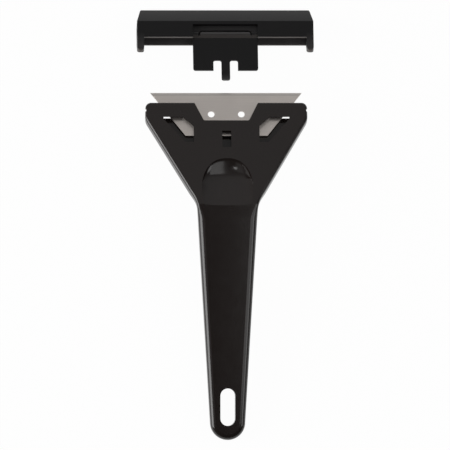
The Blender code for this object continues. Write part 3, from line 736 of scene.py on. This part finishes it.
class SetStage(bpy.types.Operator):
    """Set the table, the lights and the camera"""

    bl_idname = "scraper.set_stage"
    bl_label = "Table, lights and camera"

    def execute(self, context):
        sizes = context.scene.scraper_studio
        self.set_table(sizes)
        self.set_world(sizes)
        self.set_camera(sizes)
        self.set_lights(sizes)
        context.scene.view_settings.view_transform = "Standard"
        return {"FINISHED"}

    def set_table(self, sizes, cloud_scale=3.0, cloud_change=0.01, roughness=0.9):
        """A white table that keeps a faint shadow, with painted shade at its right in mirrors."""
        mesh = bpy.data.meshes.new("table")
        work = bmesh.new()
        bmesh.ops.create_grid(work, x_segments=1, y_segments=1, size=sizes.table_size / 2)
        work.to_mesh(mesh)
        work.free()
        table = bpy.data.objects.new("table", mesh)
        bpy.context.scene.collection.objects.link(table)
        made, shader = new_material("table white")
        tree = made.node_tree
        place = object_place(tree)
        cloud = swing(tree, noise_node(tree, place, cloud_scale), cloud_change)
        tree.links.new(toned(tree, sizes.table_colour, cloud), shader.inputs["Base Color"])
        shader.inputs["Roughness"].default_value = roughness
        path = tree.nodes.new("ShaderNodeLightPath")
        mirrored = math_node(tree, "MAXIMUM", path.outputs["Is Glossy Ray"],
                             path.outputs["Is Transmission Ray"])
        # Painted shade: the table's glow in mirrors falls at the right of the object, where its
        # shadow would lie
        painted_shade_right = ramp(tree, along(tree, place, across), sizes.fall_start, sizes.fall_width)
        level = math_node(tree, "SUBTRACT", sizes.table_mirrored,
                          product(tree, painted_shade_right, sizes.mirrored_painted_shade))
        seen = math_node(tree, "MAXIMUM", path.outputs["Is Camera Ray"],
                         math_node(tree, "MULTIPLY", mirrored, level))
        glow = tree.nodes.new("ShaderNodeEmission")
        glow.inputs["Strength"].default_value = 1.0
        blend = tree.nodes.new("ShaderNodeMixShader")
        tree.links.new(product(tree, seen, sizes.table_white), blend.inputs[0])
        tree.links.new(shader.outputs["BSDF"], blend.inputs[1])
        tree.links.new(glow.outputs["Emission"], blend.inputs[2])
        output = next(node for node in tree.nodes if node.type == "OUTPUT_MATERIAL")
        tree.links.new(blend.outputs["Shader"], output.inputs["Surface"])
        mesh.materials.append(made)

    def set_world(self, sizes):
        """Dim surroundings, lighter towards the blade end, that the camera sees as white."""
        world = bpy.data.worlds.new("studio")
        bpy.context.scene.world = world
        world.use_nodes = True
        tree = world.node_tree
        tree.nodes.clear()
        output = tree.nodes.new("ShaderNodeOutputWorld")
        background = tree.nodes.new("ShaderNodeBackground")
        path = tree.nodes.new("ShaderNodeLightPath")
        strength = tree.nodes.new("ShaderNodeMix")
        strength.data_type = "FLOAT"
        tree.links.new(path.outputs["Is Camera Ray"], strength.inputs["Factor"])
        direction = tree.nodes.new("ShaderNodeTexCoord").outputs["Generated"]
        rise = math_node(tree, "MAXIMUM", along(tree, direction, shank_up), 0.0)
        gain = product(tree, math_node(tree, "POWER", rise, sizes.sky_power), sizes.sky_gain)
        gain = math_node(tree, "MINIMUM", gain, sizes.sky_most)
        tree.links.new(math_node(tree, "ADD", gain, sizes.sky_low), strength.inputs["A"])
        strength.inputs["B"].default_value = 1.0
        tree.links.new(strength.outputs["Result"], background.inputs["Strength"])
        tree.links.new(background.outputs["Background"], output.inputs["Surface"])

    def set_camera(self, sizes):
        """A long lens that looks square at the shank, turned a little to its left."""
        turn = Matrix.Rotation(-sizes.view_turn, 3, shank_up)
        view_out = turn @ shank_out
        view_right = turn @ across
        centre = shank_point + across * sizes.view_centre[0] + shank_up * sizes.view_centre[1]
        data = bpy.data.cameras.new("camera")
        data.sensor_width = 36.0
        data.lens = data.sensor_width * sizes.view_distance / sizes.view_width
        data.clip_start = 0.1
        data.clip_end = 100.0
        camera = bpy.data.objects.new("camera", data)
        bpy.context.scene.collection.objects.link(camera)
        camera.location = centre + view_out * sizes.view_distance
        camera.rotation_euler = Matrix(
            (view_right, view_out.cross(view_right), view_out)).transposed().to_euler()
        bpy.context.scene.camera = camera

    def set_lights(self, sizes):
        """Soft boxes at the left and right of the camera, and one above the blade end."""
        middle = shank_point + shank_up * sizes.light_middle
        thumb = shank_point + shank_up * sizes.light_thumb
        soft_box("left box", middle, side=-72, distance=1.2, half_width=22, half_height=22,
                 radiance=5.2)
        soft_box("left fill", middle, side=-29, rise=3, distance=0.5, half_width=15,
                 half_height=18, radiance=0.28)
        soft_box("left spot", middle, side=-11, rise=7, distance=1.2, half_width=2.6,
                 half_height=2.6, radiance=7.0)
        soft_box("right box", middle, side=57, rise=-4, distance=1.2, half_width=12,
                 half_height=12, radiance=2.2)
        soft_box("right fill", thumb, side=25, rise=3, distance=0.3, half_width=19,
                 half_height=23, radiance=1.3)
        soft_box("top box", middle, rise=88, distance=1.2, half_width=26, half_height=6,
                 radiance=1.7)


groups = {
    "scraper_handle": HandleFinish,
    "scraper_blade": BladeFinish,
    "scraper_cap": CapFinish,
    "scraper_studio": StudioSizes,
}
operators = (DressHandle, DressBlade, DressCap, SetStage)


class ScraperPanel(bpy.types.Panel):
    """Lists the pieces of the scraper and their sizes and colours"""

    bl_idname = "VIEW3D_PT_scraper"
    bl_label = "Hand scraper"
    bl_space_type = "VIEW_3D"
    bl_region_type = "UI"
    bl_category = "Scraper"

    def draw(self, context):
        for name, kind in groups.items():
            box = self.layout.box()
            box.label(text=kind.__doc__)
            for field in kind.__annotations__:
                box.prop(getattr(context.scene, name), field)
        for kind in operators:
            self.layout.operator(kind.bl_idname)


def register():
    """Add the settings, the operators and the panel to Blender."""
    for name, kind in groups.items():
        bpy.utils.register_class(kind)
        setattr(bpy.types.Scene, name, bpy.props.PointerProperty(type=kind))
    for kind in operators + (ScraperPanel,):
        bpy.utils.register_class(kind)


def unregister():
    """Take the panel, the operators and the settings out of Blender."""
    for kind in reversed(operators + (ScraperPanel,)):
        bpy.utils.unregister_class(kind)
    for name, kind in groups.items():
        delattr(bpy.types.Scene, name)
        bpy.utils.unregister_class(kind)


def main():
    """Finish the pieces and set the stage."""
    register()
    bpy.ops.scraper.dress_handle()
    bpy.ops.scraper.dress_blade()
    bpy.ops.scraper.dress_cap()
    bpy.ops.scraper.set_stage()


if __name__ == "__main__":
    main()
